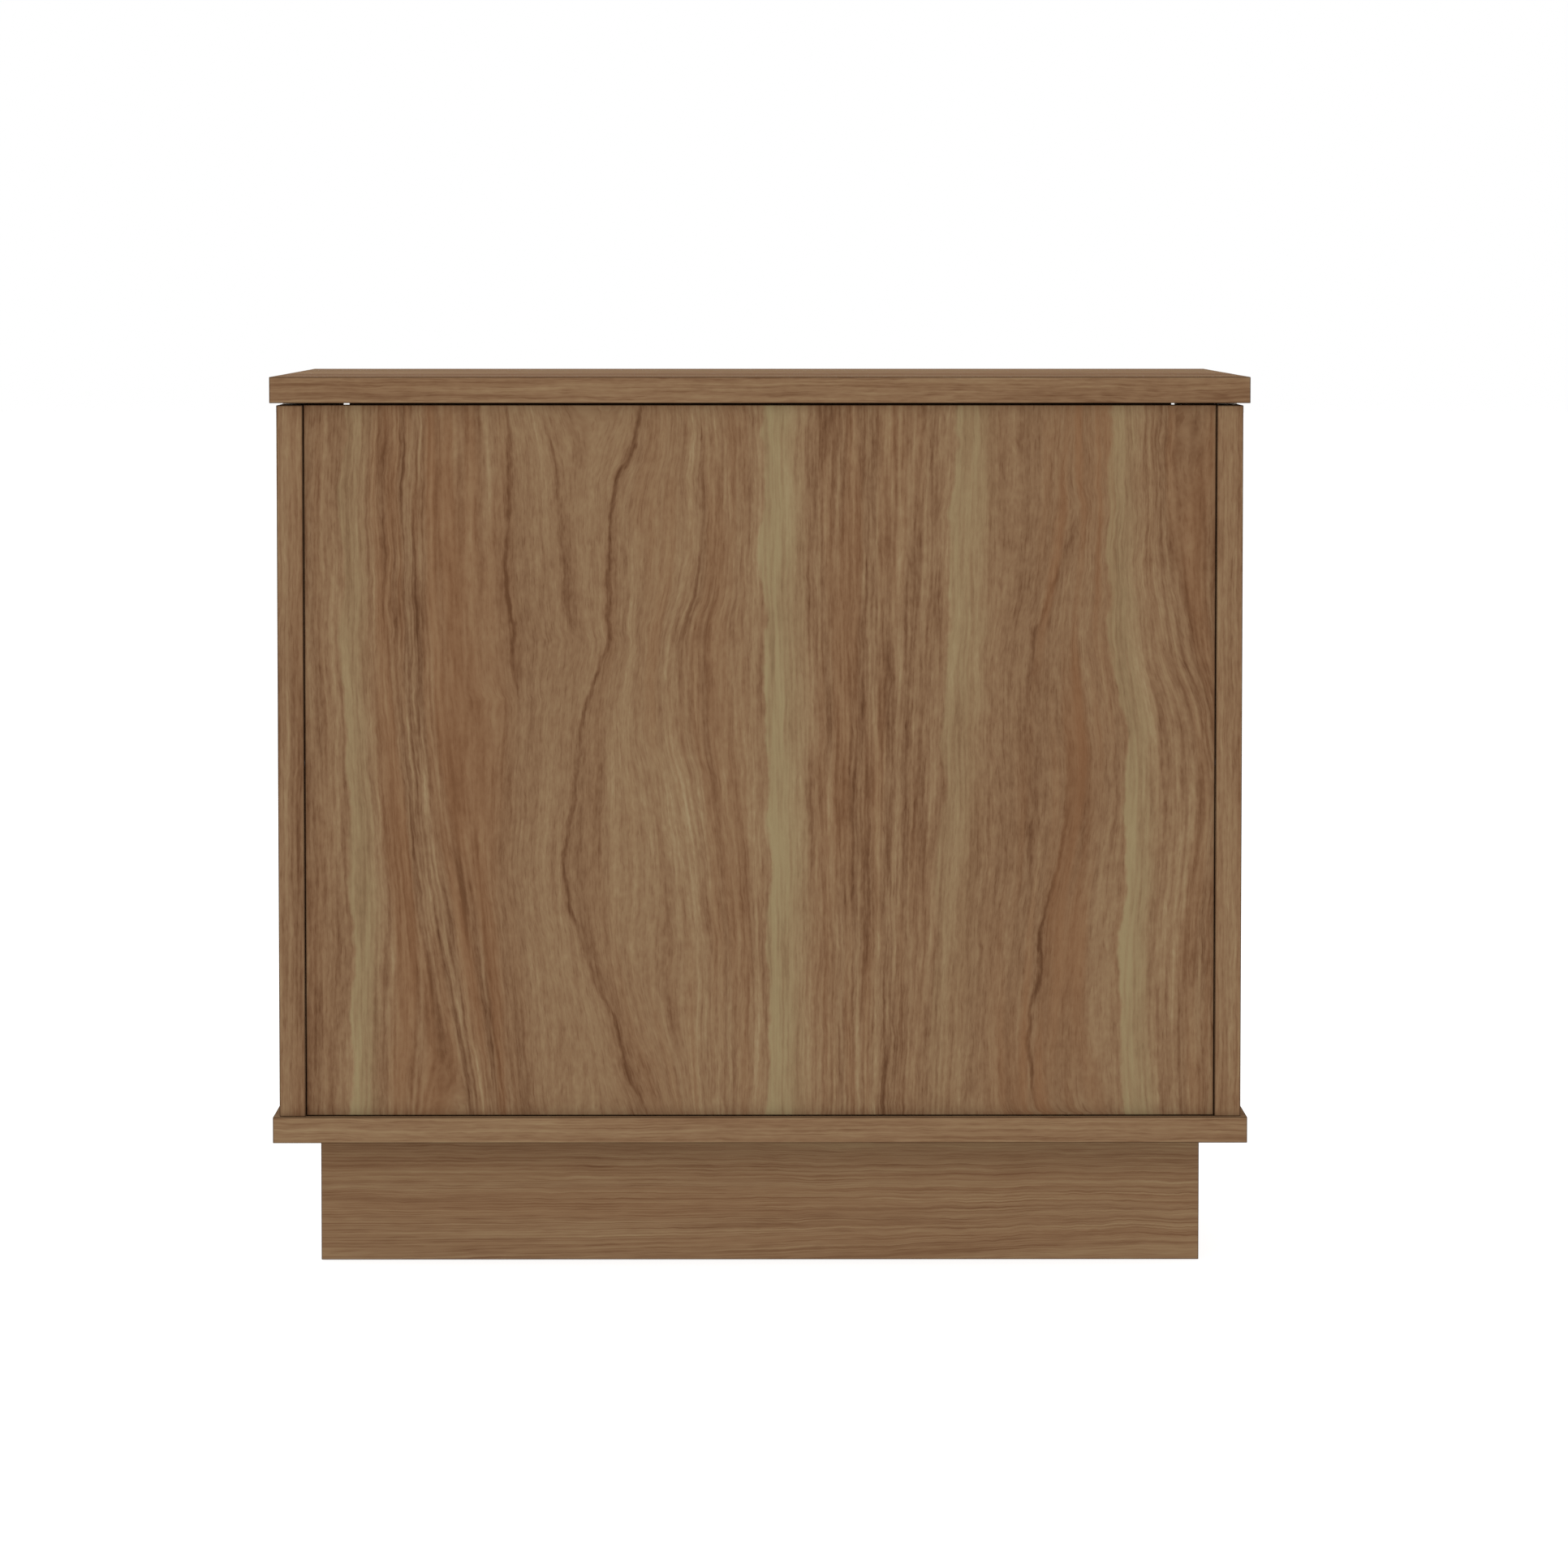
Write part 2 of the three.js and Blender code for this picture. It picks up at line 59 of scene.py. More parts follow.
class Graph:
    """Builds one material's node tree with short calls."""

    def __init__(self, name):
        self.material = bpy.data.materials.new(name)
        self.material.use_nodes = True
        self.tree = self.material.node_tree
        self.tree.nodes.clear()
        self.output = self.tree.nodes.new("ShaderNodeOutputMaterial")

    def add(self, kind, **settings):
        node = self.tree.nodes.new(kind)
        for name, value in settings.items():
            setattr(node, name, value)
        return node

    def put(self, socket, value):
        """Links a socket to the value's node, or sets it where the value is constant."""
        if isinstance(value, bpy.types.NodeSocket):
            self.tree.links.new(value, socket)
        else:
            socket.default_value = value

    def math(self, operation, *values, clamp=False):
        node = self.add("ShaderNodeMath", operation=operation, use_clamp=clamp)
        for socket, value in zip(node.inputs, values):
            self.put(socket, value)
        return node.outputs[0]

    def scaled(self, value, factor, shift=0.0):
        return self.math("MULTIPLY_ADD", value, factor, shift)

    def swing(self, value, reach):
        """Turns a value from 0 to 1 into one that swings evenly about 0, over a reach."""
        return self.scaled(value, reach, -reach / 2)

    def split(self, vector):
        node = self.add("ShaderNodeSeparateXYZ")
        self.put(node.inputs[0], vector)
        return list(node.outputs)

    def vector(self, x, y, z):
        node = self.add("ShaderNodeCombineXYZ")
        for socket, value in zip(node.inputs, (x, y, z)):
            self.put(socket, value)
        return node.outputs[0]

    def noise(self, vector, detail=2.0, roughness=0.5):
        node = self.add("ShaderNodeTexNoise", noise_dimensions="3D")
        self.put(node.inputs["Vector"], vector)
        node.inputs["Scale"].default_value = 1.0
        node.inputs["Detail"].default_value = detail
        node.inputs["Roughness"].default_value = roughness
        return node.outputs["Fac"]

    def grain_noise(self, u, v, cells, seed, detail=2.0, roughness=0.5):
        """Noise across and along the grain of a board, by how many cells lie in a metre each way."""
        node = self.add("ShaderNodeTexNoise", noise_dimensions="2D")
        across, along = cells
        place = self.vector(self.scaled(u, across, 3.1 * seed), self.scaled(v, along, 1.7 * seed), 0.0)
        self.put(node.inputs["Vector"], place)
        node.inputs["Scale"].default_value = 1.0
        node.inputs["Detail"].default_value = detail
        node.inputs["Roughness"].default_value = roughness
        return node.outputs["Fac"]

    def band(self, value, low, high, to_low=0.0, to_high=1.0):
        """Eases from to_low to to_high as the value goes from low to high."""
        node = self.add("ShaderNodeMapRange", interpolation_type="SMOOTHSTEP", clamp=True)
        for socket, number in zip(node.inputs, (value, low, high, to_low, to_high)):
            self.put(socket, number)
        return node.outputs[0]

    def mix(self, factor, first, second):
        """Mixes two colours."""
        node = self.add("ShaderNodeMix", data_type="RGBA")
        self.put(node.inputs[0], factor)
        self.put(node.inputs[6], first)
        self.put(node.inputs[7], second)
        return node.outputs[2]

    def blend(self, factor, first, second):
        """Mixes two numbers."""
        node = self.add("ShaderNodeMix", data_type="FLOAT")
        self.put(node.inputs[0], factor)
        self.put(node.inputs[2], first)
        self.put(node.inputs[3], second)
        return node.outputs[0]

    def total(self, *values):
        whole = values[0]
        for value in values[1:]:
            whole = self.math("ADD", whole, value)
        return whole

    def ramp(self, value, stops):
        """A colour for each value, from (value, colour) stops."""
        node = self.add("ShaderNodeValToRGB")
        elements = node.color_ramp.elements
        while len(elements) < len(stops):
            elements.new(1.0)
        for element, (place, color) in zip(elements, stops):
            element.position = place
            element.color = color
        self.put(node.inputs[0], value)
        return node.outputs[0]

    def curve(self, value, points):
        """A smooth line through (value, result) points, for values that rise from point to point."""
        values = [point[0] for point in points]
        results = [point[1] for point in points]
        start, span = values[0], values[-1] - values[0]
        least, rise = min(results), max(max(results) - min(results), 1e-4)
        node = self.add("ShaderNodeFloatCurve")
        node.mapping.extend = "HORIZONTAL"
        line = node.mapping.curves[0]
        while len(line.points) < len(points):
            line.points.new(0.5, 0.5)
        for point, (at, result) in zip(line.points, points):
            point.location = ((at - start) / span, (result - least) / rise)
        node.mapping.update()
        self.put(node.inputs["Value"], self.scaled(value, 1 / span, -start / span))
        return self.scaled(node.outputs[0], rise, least)

    def bump(self, height, strength, distance):
        node = self.add("ShaderNodeBump")
        node.inputs["Strength"].default_value = strength
        node.inputs["Distance"].default_value = distance
        self.put(node.inputs["Height"], height)
        return node.outputs["Normal"]

    def finish(self, color, roughness, normal=None, **constants):
        shader = self.add("ShaderNodeBsdfPrincipled")
        self.put(shader.inputs["Base Color"], color)
        self.put(shader.inputs["Roughness"], roughness)
        if normal is not None:
            self.put(shader.inputs["Normal"], normal)
        for name, value in constants.items():
            shader.inputs[name].default_value = value
        self.tree.links.new(shader.outputs[0], self.output.inputs["Surface"])
        return self.material


def rgb(red, green, blue):
    """A colour given as the 0 to 255 steps of a screen, as linear light."""

    def linear(step):
        share = step / 255
        return share / 12.92 if share <= 0.04045 else ((share + 0.055) / 1.055) ** 2.4

    return (linear(red), linear(green), linear(blue), 1.0)


# ---------------------------------------------------------------- wood

WOOD_TONES = (
    (0.0, rgb(88, 60, 40)),
    (0.25, rgb(109, 80, 57)),
    (0.5, rgb(126, 98, 72)),
    (0.75, rgb(138, 113, 84)),
    (1.0, rgb(150, 130, 99)),
)
MIDDLE_TONE = 0.51  # where plain wood lies among the tones
OLIVE = rgb(144, 129, 95)
RED = rgb(126, 89, 61)
# Painted shade: a dark colour drawn in a thin line along every edge of each board.
PAINTED_EDGE_SHADE = rgb(48, 30, 17)
PAINTED_EDGE_SHADE_WIDTH = 0.7 * MM
SQUARE_ON = 0.7  # a normal's share along an axis, above which a face counts as facing that way
BEND_REACH = 0.055  # how far a guide bends the fibres beside it
LINE_REACH = (0.2 * MM, 2.4 * MM)  # where a growth line begins to fade, and where it ends

# Cells of noise in a metre of wood, across its grain and along it.
WAVE_CELLS = (30, 22)
JAG_CELLS = (160, 120)
FADE_CELLS = (22, 12)
BROAD_CELLS = (20, 1.8)
FIBRE_CELLS = (150, 7)
MOTTLE_CELLS = (260, 90)
FLECK_CELLS = (620, 150)
PORE_CELLS = (1300, 80)
RED_CELLS = (40, 2.6)

# The guides of the wood's figure, which its fibres bend along: what shows on the guide, how strong it
# is at the foot and at the head, how far it reaches to one side, and the guide's points as (place
# along the grain, place across it). On the back panel they are heights and places along X.
GUIDES = (
    ("line", 0.9, 0.7, 0.014, (
        (0.09, 0.066), (0.16, 0.095), (0.2, 0.109), (0.24, 0.118), (0.32, 0.112),
        (0.36, 0.104), (0.4, 0.093), (0.46, 0.092), (0.5, 0.081), (0.54, 0.07),
    )),
    ("line", 0.8, 0.8, 0.014, (
        (0.35, 0.147), (0.38, 0.152), (0.44, 0.154), (0.54, 0.153),
    )),
    ("line", 0.9, 0.4, 0.010, (
        (0.386, 0.112), (0.4, 0.118), (0.44, 0.121), (0.48, 0.124), (0.53, 0.134),
    )),
    ("line", 0.3, 0.6, 0.012, (
        (0.2, 0.03), (0.25, 0.036), (0.3, 0.044), (0.34, 0.05), (0.38, 0.05),
        (0.42, 0.04), (0.47, 0.036), (0.53, 0.042),
    )),
    ("line", 1.0, 0.7, 0.016, (
        (0.094, -0.178), (0.115, -0.166), (0.15, -0.167), (0.19, -0.173),
        (0.22, -0.176), (0.26, -0.186), (0.3, -0.193), (0.335, -0.19),
    )),
    ("line", 0.3, 0.7, 0.010, (
        (0.2, -0.162), (0.28, -0.165), (0.33, -0.162), (0.38, -0.167),
        (0.42, -0.181), (0.47, -0.196),
    )),
    ("line", 0.5, 0.3, 0.010, (
        (0.1, -0.128), (0.2, -0.134), (0.3, -0.142), (0.36, -0.139),
    )),
    ("streak", 0.9, 1.0, 0.028, (
        (0.09, -0.006), (0.2, -0.007), (0.33, -0.006), (0.43, -0.004), (0.54, -0.003),
    )),
    ("streak", 0.1, 0.7, 0.030, (
        (0.09, -0.105), (0.33, -0.114), (0.4, -0.117), (0.54, -0.122),
    )),
    ("streak", 1.0, 0.5, 0.022, (
        (0.09, -0.228), (0.18, -0.223), (0.25, -0.226), (0.3, -0.226),
        (0.36, -0.22), (0.43, -0.215), (0.54, -0.218),
    )),
    ("streak", 0.9, 0.3, 0.020, (
        (0.09, 0.25), (0.22, 0.25), (0.33, 0.253), (0.4, 0.255), (0.54, 0.252),
    )),
    ("bend", 0.0, 0.0, 0.0, (
        (0.09, 0.162), (0.2, 0.186), (0.33, 0.203), (0.54, 0.207),
    )),
    ("bend", 0.0, 0.0, 0.0, (
        (0.09, -0.262), (0.2, -0.262), (0.3, -0.268), (0.38, -0.25), (0.46, -0.236),
        (0.54, -0.23),
    )),
)

ZONES = (
    # place across the grain, strength of the fibres, how red, how pale
    (-0.310, 0.8, 0.1, 0.0),
    (-0.278, 0.9, 0.5, -0.10),
    (-0.255, 1.0, 0.3, -0.04),
    (-0.230, 0.7, 0.0, 0.04),
    (-0.200, 0.5, 0.9, 0.0),
    (-0.165, 0.5, 0.7, 0.0),
    (-0.130, 0.6, 0.1, 0.06),
    (-0.097, 1.0, 0.2, -0.04),
    (-0.055, 1.2, 0.4, -0.05),
    (-0.015, 0.8, 0.0, 0.05),
    (0.022, 0.9, 0.3, 0.02),
    (0.062, 0.6, 0.3, 0.08),
    (0.095, 0.5, 0.1, 0.05),
    (0.122, 0.4, 0.0, 0.12),
    (0.155, 0.6, 0.2, -0.03),
    (0.195, 1.3, 0.7, -0.10),
    (0.225, 1.2, 0.5, -0.05),
    (0.250, 0.7, 0.0, 0.0),
    (0.278, 0.8, 0.2, -0.12),
    (0.305, 0.8, 0.1, 0.0),
)


class BoardSpace:
    """The places on a board: u across its grain and v along it, and its own X, Y and Z.

    The two ends of the board carry an edge band, whose pattern runs along end_along. turn is -1
    where the pattern lies the other way round, and start is the u and v of the object's origin."""

    def __init__(self, g, along, end_along, turn, start):
        texture = g.add("ShaderNodeTexCoord")
        self.place = g.split(texture.outputs["Object"])
        self.facing = [g.math("ABSOLUTE", part) for part in g.split(texture.outputs["Normal"])]
        across = [axis for axis in (X, Y, Z) if axis != along]
        on_end = g.math("GREATER_THAN", self.facing[along], SQUARE_ON)
        both = g.math("ADD", self.place[across[0]], self.place[across[1]])
        on_band = g.math("SUBTRACT", both, g.math("MULTIPLY", on_end, self.place[end_along]))
        self.u = g.scaled(on_band, turn, start[0])
        self.v = g.scaled(g.blend(on_end, self.place[along], self.place[end_along]), 1.0, start[1])


def painted_edge_shade_mask(g, node, space, width):
    """Painted shade: 1 in a thin dark line round each face of the board, which stands in for the shade
    along its edges.
    """
    low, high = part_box(node)
    nearest = None
    for axis in (X, Y, Z):
        centre = (low[axis] + high[axis]) / 2
        half = (high[axis] - low[axis]) / 2
        from_centre = g.math("ABSOLUTE", g.scaled(space.place[axis], 1.0, -centre))
        own_face = g.math("GREATER_THAN", space.facing[axis], SQUARE_ON)
        distance = g.math("ADD", g.scaled(from_centre, -1.0, half), own_face)
        nearest = distance if nearest is None else g.math("MINIMUM", nearest, distance)
    return g.band(nearest, width * 0.4, width, 1.0, 0.0)


def figure_masks(g, u, v, seed):
    """The wood's figure: the place across its bent fibres, and its lines, shades and streaks."""
    wave = g.grain_noise(u, v, WAVE_CELLS, seed)
    jag = g.grain_noise(u, v, JAG_CELLS, seed + 1)
    ripple = g.total(g.swing(wave, 12 * MM), g.swing(jag, 3 * MM))
    rippled = g.math("ADD", u, ripple)
    fade = g.band(g.grain_noise(u, v, FADE_CELLS, seed + 2), 0.34, 0.6, 0.3, 1.0)
    lines = shade = streak = pull = bend = g.scaled(u, 0.0)
    for kind, at_foot, at_head, reach, points in GUIDES:
        foot, head = points[0][0], points[-1][0]
        middle = sum(point[1] for point in points) / len(points)
        guide = g.curve(v, points)
        away = g.math("SUBTRACT", guide, rippled)
        near = g.band(g.math("ABSOLUTE", away), 0.0, BEND_REACH, 1.0, 0.0)
        pull = g.math("ADD", pull, near)
        bend = g.math("ADD", bend, g.math("MULTIPLY", near, g.scaled(guide, -1.0, middle)))
        strength = g.band(v, foot, head, at_foot, at_head)
        far_side = g.band(away, 0.1 * reach, reach, 1.0, 0.0)
        side = g.math("MULTIPLY", g.band(away, -3 * MM, 0.0), far_side)
        if kind == "line":
            low_end = g.band(v, foot - 6 * MM, foot + 20 * MM)
            ends = g.math("MULTIPLY", low_end, g.band(v, head - 20 * MM, head, 1.0, 0.0))
            strength = g.math("MULTIPLY", strength, ends)
            thin = g.band(g.math("ABSOLUTE", away), *LINE_REACH, 1.0, 0.0)
            lines = g.math("MAXIMUM", lines, g.math("MULTIPLY", thin, strength))
            shade = g.math("MAXIMUM", shade, g.math("MULTIPLY", side, strength))
        if kind == "streak":
            streak = g.math("MAXIMUM", streak, g.math("MULTIPLY", side, strength))
    bent = g.math("DIVIDE", bend, g.math("MAXIMUM", pull, 1.0))
    grain = g.total(u, bent, g.scaled(ripple, 0.25))
    return grain, g.math("MULTIPLY", lines, fade), shade, streak


def wood(name, node, along, end_along, turn, start, seed, straight, lighter):
    """Brown walnut: growth lines, fibre bundles, fine fleck, pores, olive streaks, redder zones.

    A straighter board has longer, finer and quieter fibres."""
    g = Graph(name)
    space = BoardSpace(g, along, end_along, turn, start)
    grain, lines, shade, streak = figure_masks(g, space.u, space.v, seed)
    fibres, red, pale = (
        g.curve(grain, [(zone[0], zone[column]) for zone in ZONES]) for column in (1, 2, 3)
    )
    calm = 1 / math.sqrt(straight)  # how much of the broad figure shows
    fine = math.sqrt(calm)  # how much of the fibres shows
    v = g.scaled(space.v, 1 / straight)
    narrow = g.scaled(grain, straight)

    broad = g.grain_noise(narrow, v, BROAD_CELLS, seed + 10, 2.0, 1.0)
    fibre = g.grain_noise(narrow, v, FIBRE_CELLS, seed + 11, 2.0, 1.0)
    mottle = g.grain_noise(grain, v, MOTTLE_CELLS, seed + 12, 2.0, 0.8)
    fleck = g.grain_noise(grain, v, FLECK_CELLS, seed + 13, 1.0, 0.6)
    pores = g.band(g.grain_noise(grain, v, PORE_CELLS, seed + 14, 1.0), 0.6, 0.7)
    patch = g.grain_noise(grain, v, RED_CELLS, seed + 15, 2.0, 0.8)

    # lighter lifts or lowers the whole board's tone: painted light and shade, not a difference in the
    # wood.
    value = g.total(
        g.scaled(pale, 1.0, MIDDLE_TONE + lighter),
        g.swing(broad, 0.6 * calm),
        g.math("MULTIPLY", g.swing(fibre, 1.15 * fine), fibres),
        g.swing(mottle, 0.45 * calm),
        g.swing(fleck, 0.14),
        g.scaled(lines, -0.36),
        g.scaled(shade, -0.12),
        g.scaled(streak, 0.08),
        g.scaled(pores, -0.12),
    )
    color = g.ramp(value, WOOD_TONES)
    redness = g.math("MULTIPLY", g.band(patch, 0.38, 0.68, 0.0, 0.7), g.scaled(red, calm))
    color = g.mix(redness, color, RED)
    olive = g.math("MULTIPLY", streak, g.band(fibre, 0.3, 0.65, 0.4, 0.8))
    color = g.mix(olive, color, OLIVE)
    # Painted shade: the dark line along the board's edges, mixed over the wood.
    color = g.mix(g.scaled(painted_edge_shade_mask(g, node, space, PAINTED_EDGE_SHADE_WIDTH), 0.75), color, PAINTED_EDGE_SHADE)

    roughness = g.total(g.scaled(fleck, 0.16, 0.82), g.scaled(lines, 0.08))
    depth = g.total(g.scaled(fleck, 0.5), g.scaled(fibre, 0.5), g.scaled(pores, -1.0))
    normal = g.bump(depth, 0.3, 0.12 * MM)
    return g.finish(color, roughness, normal, **{"Specular IOR Level": 0.015})


# ---------------------------------------------------------------- other materials


def object_noise(g, place, scales, detail=2.0, roughness=0.5):
    """Noise in the object's own space, by how many cells lie in a metre along X, Y and Z."""
    parts = [g.scaled(value, scale) for value, scale in zip(place, scales)]
    return g.noise(g.vector(*parts), detail, roughness)


def metal(name, color, darker, roughness, brushed=(700, 700, 700), worn=None):
    """Metal with fine brushing, hairline scratches and smudges, and edges rubbed to a worn colour.

    worn is a colour and the box of the square bar along Z whose long edges it shows on."""
    g = Graph(name)
    place = g.split(g.add("ShaderNodeTexCoord").outputs["Object"])
    brush = object_noise(g, place, brushed, 3.0, 0.65)
    smudge = object_noise(g, place, (60, 60, 60), 3.0, 0.6)
    scratch = g.band(object_noise(g, place, (2400, 2400, 90), 1.0), 0.7, 0.76)
    tone = g.mix(g.total(g.scaled(brush, 0.7), g.scaled(smudge, 0.5, -0.1)), color, darker)
    if worn:
        worn_color, (low, high) = worn
        from_axis = [
            g.math("ABSOLUTE", g.scaled(place[axis], 1.0, -(low[axis] + high[axis]) / 2))
            for axis in (X, Y)
        ]
        half = (high[X] - low[X]) / 2
        edge = g.band(g.total(*from_axis), 1.6 * half, 1.8 * half)
        patchy = object_noise(g, place, (300, 300, 45), 3.0, 0.7)
        tone = g.mix(g.math("MULTIPLY", edge, g.band(patchy, 0.4, 0.6, 0.15, 0.9)), tone, worn_color)
    rough = g.total(
        g.scaled(brush, 0.16, roughness - 0.12),
        g.scaled(smudge, 0.14, -0.03),
        g.scaled(scratch, -0.08),
    )
    depth = g.math("SUBTRACT", brush, scratch)
    return g.finish(tone, rough, g.bump(depth, 0.14, 0.05 * MM), Metallic=1.0)


def plastic(name, color, darker, roughness):
    """Moulded plastic with a fine spark-eroded grain, flow marks and handling shine."""
    g = Graph(name)
    place = g.split(g.add("ShaderNodeTexCoord").outputs["Object"])
    grain = object_noise(g, place, (2200, 2200, 2200), 2.0, 0.6)
    flow = object_noise(g, place, (160, 160, 40), 3.0, 0.5)
    tone = g.mix(g.total(g.scaled(grain, 0.35), g.scaled(flow, 0.65)), color, darker)
    rough = g.total(g.scaled(grain, 0.12, roughness), g.scaled(flow, -0.16))
    return g.finish(tone, rough, g.bump(grain, 0.25, 0.06 * MM))


def ferrite():
    """Pressed magnet ceramic: dark, grainy, with small bright chips."""
    g = Graph("ferrite")
    place = g.split(g.add("ShaderNodeTexCoord").outputs["Object"])
    grain = object_noise(g, place, (1500, 1500, 1500), 3.0, 0.7)
    chips = g.band(object_noise(g, place, (700, 700, 700), 2.0, 0.6), 0.66, 0.72)
    tone = g.mix(grain, rgb(58, 57, 58), rgb(30, 30, 32))
    tone = g.mix(g.scaled(chips, 0.5), tone, rgb(110, 108, 106))
    return g.finish(tone, g.scaled(grain, 0.3, 0.4), g.bump(grain, 0.3, 0.08 * MM), Metallic=0.3)


def beech():
    g = Graph("beech")
    place = g.split(g.add("ShaderNodeTexCoord").outputs["Object"])
    fibre = object_noise(g, place, (500, 500, 25), 3.0, 0.6)
    ring = object_noise(g, place, (120, 120, 6), 2.0, 0.5)
    fleck = g.band(object_noise(g, place, (900, 900, 120)), 0.6, 0.7)
    tone = g.total(g.scaled(fibre, 0.6), g.scaled(ring, 0.5, -0.05))
    color = g.mix(tone, rgb(206, 172, 126), rgb(172, 132, 88))
    color = g.mix(g.scaled(fleck, 0.6), color, rgb(140, 98, 62))
    normal = g.bump(g.math("SUBTRACT", fibre, fleck), 0.3, 0.1 * MM)
    return g.finish(color, g.scaled(fibre, 0.15, 0.6), normal, **{"Specular IOR Level": 0.2})


# ---------------------------------------------------------------- mesh tools


def new_piece(name, mesh_builder, material, body, replaced=(), smooth_degrees=None):
    """Makes one object from a bmesh, and says what it rides on and stands for."""
    mesh = bpy.data.meshes.new(name)
    mesh_builder.to_mesh(mesh)
    mesh_builder.free()
    mesh.materials.append(material)
    piece = bpy.data.objects.new(name, mesh)
    bpy.context.scene.collection.objects.link(piece)
    if smooth_degrees:
        mesh.shade_smooth()
        mesh.set_sharp_from_angle(angle=math.radians(smooth_degrees))
    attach(piece, body)
    if replaced:
        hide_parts(*replaced)
    return piece


def bevel_outer_edges(mesh_builder, low, high, width, segments):
    """Rounds the edges that lie on two planes of the board's own box."""
    near = 1e-5

    def planes(vertex):
        on = set()
        for axis in (X, Y, Z):
            if abs(vertex.co[axis] - low[axis]) < near:
                on.add((axis, 0))
            if abs(vertex.co[axis] - high[axis]) < near:
                on.add((axis, 1))
        return on

    outer = [e for e in mesh_builder.edges if len(planes(e.verts[0]) & planes(e.verts[1])) == 2]
    made = bmesh.ops.bevel(
        mesh_builder, geom=outer, offset=width, segments=segments, profile=0.5, affect="EDGES"
    )
    for face in mesh_builder.faces:
        face.smooth = False
    for face in made["faces"]:
        face.smooth = True


def board_piece(node, material, body, radius=0.35 * MM):
    """A board with softly rounded edges and all of its drillings."""
    low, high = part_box(node)
    builder = bmesh.new()
    builder.from_mesh(NODES[node].data)
    bmesh.ops.remove_doubles(builder, verts=builder.verts, dist=1e-6)
    bmesh.ops.dissolve_limit(
        builder, angle_limit=math.radians(0.5), verts=builder.verts, edges=builder.edges
    )
    bevel_outer_edges(builder, low, high, radius, 3)
    return new_piece(node + "_board", builder, material, body, (node,))


def lathe(profile, origin, direction, closed=False, sides=48):
    """Turns a profile of (distance, radius) in millimetres round a line from an origin."""
    builder = bmesh.new()
    along = Vector(direction)
    side = along.orthogonal().normalized()
    other = along.cross(side)
    turns = [2 * math.pi * step / sides for step in range(sides)]
    spokes = [side * math.cos(turn) + other * math.sin(turn) for turn in turns]
    rings = []
    for distance, radius in profile:
        centre = Vector(origin) + along * distance * MM
        reaches = [centre + spoke * radius * MM for spoke in spokes] if radius else [centre]
        rings.append([builder.verts.new(place) for place in reaches])
    following = rings[1:] + rings[:1] if closed else rings[1:]
    for first, second in zip(rings, following):
        for step in range(sides):
            after = (step + 1) % sides
            corners = [
                first[step % len(first)],
                first[after % len(first)],
                second[after % len(second)],
                second[step % len(second)],
            ]
            builder.faces.new(list(dict.fromkeys(corners)))
    bmesh.ops.recalc_face_normals(builder, faces=builder.faces)
    return builder


def block(low, high, edge, corner=0.0, axis=Z):
    """A box with rounded edges, and with rounder corners seen along one axis."""
    low, high = Vector(low), Vector(high)
    builder = bmesh.new()
    place = Matrix.Translation((low + high) / 2) @ Matrix.Diagonal((*(high - low), 1.0))
    bmesh.ops.create_cube(builder, size=1.0, matrix=place)
    if corner:
        upright = [
            e for e in builder.edges if abs((e.verts[1].co - e.verts[0].co).normalized()[axis]) > 0.9
        ]
        bmesh.ops.bevel(
            builder, geom=upright, offset=corner, segments=6, profile=0.5, affect="EDGES"
        )
    if edge:
        sharp = [e for e in builder.edges if e.calc_face_angle(0.0) > math.radians(40)]
        bmesh.ops.bevel(builder, geom=sharp, offset=edge, segments=3, profile=0.5, affect="EDGES")
    return builder


def combined(builder, others, operation="DIFFERENCE"):
    """Cuts other closed shapes out of a closed shape, or joins them to it."""
    things = []
    for shape in (builder, *others):
        mesh = bpy.data.meshes.new("shape")
        shape.to_mesh(mesh)
        shape.free()
        thing = bpy.data.objects.new("shape", mesh)
        bpy.context.scene.collection.objects.link(thing)
        things.append(thing)
    for other in things[1:]:
        modifier = things[0].modifiers.new("combine", "BOOLEAN")
        modifier.object = other
        modifier.operation = operation
        modifier.solver = "EXACT"
    graph = bpy.context.evaluated_depsgraph_get()
    result = bmesh.new()
    result.from_mesh(things[0].evaluated_get(graph).data)
    for thing in things:
        mesh = thing.data
        bpy.data.objects.remove(thing)
        bpy.data.meshes.remove(mesh)
    return result


def bar_cutter(origin, direction, depth, reaches):
    """A cutter at an origin that goes in along a direction, with a reach along each other axis."""
    into = Vector(direction) * depth * MM
    start = Vector(origin) - Vector(direction) * 0.5 * MM
    corners = [start, Vector(origin) + into]
    low = [min(corner[axis] for corner in corners) for axis in (X, Y, Z)]
    high = [max(corner[axis] for corner in corners) for axis in (X, Y, Z)]
    others = [axis for axis in (X, Y, Z) if abs(direction[axis]) < 0.5]
    for axis, reach in zip(others, reaches):
        low[axis] -= reach * MM
        high[axis] += reach * MM
    return block(low, high, 0.0)


def cross_recess(origin, direction, reach, depth):
    """The two cutters of a cross recess."""
    narrow = reach * 0.24
    return [
        bar_cutter(origin, direction, depth, (reach, narrow)),
        bar_cutter(origin, direction, depth, (narrow, reach)),
    ]


def pan_screw(origin, direction, radius, height, shank, length):
    """A screw with a domed head and a cross recess, from the top of its head."""
    profile = (
        (0, 0),
        (0, 0.35 * radius),
        (0.12 * height, 0.62 * radius),
        (0.34 * height, 0.85 * radius),
        (0.66 * height, 0.97 * radius),
        (0.9 * height, radius),
        (height, 0.97 * radius),
        (height, shank),
        (length - 0.6, shank),
        (length, shank - 0.6),
        (length, 0),
    )
    return combined(
        lathe(profile, origin, direction), cross_recess(origin, direction, 0.52 * radius, 0.7 * height)
    )


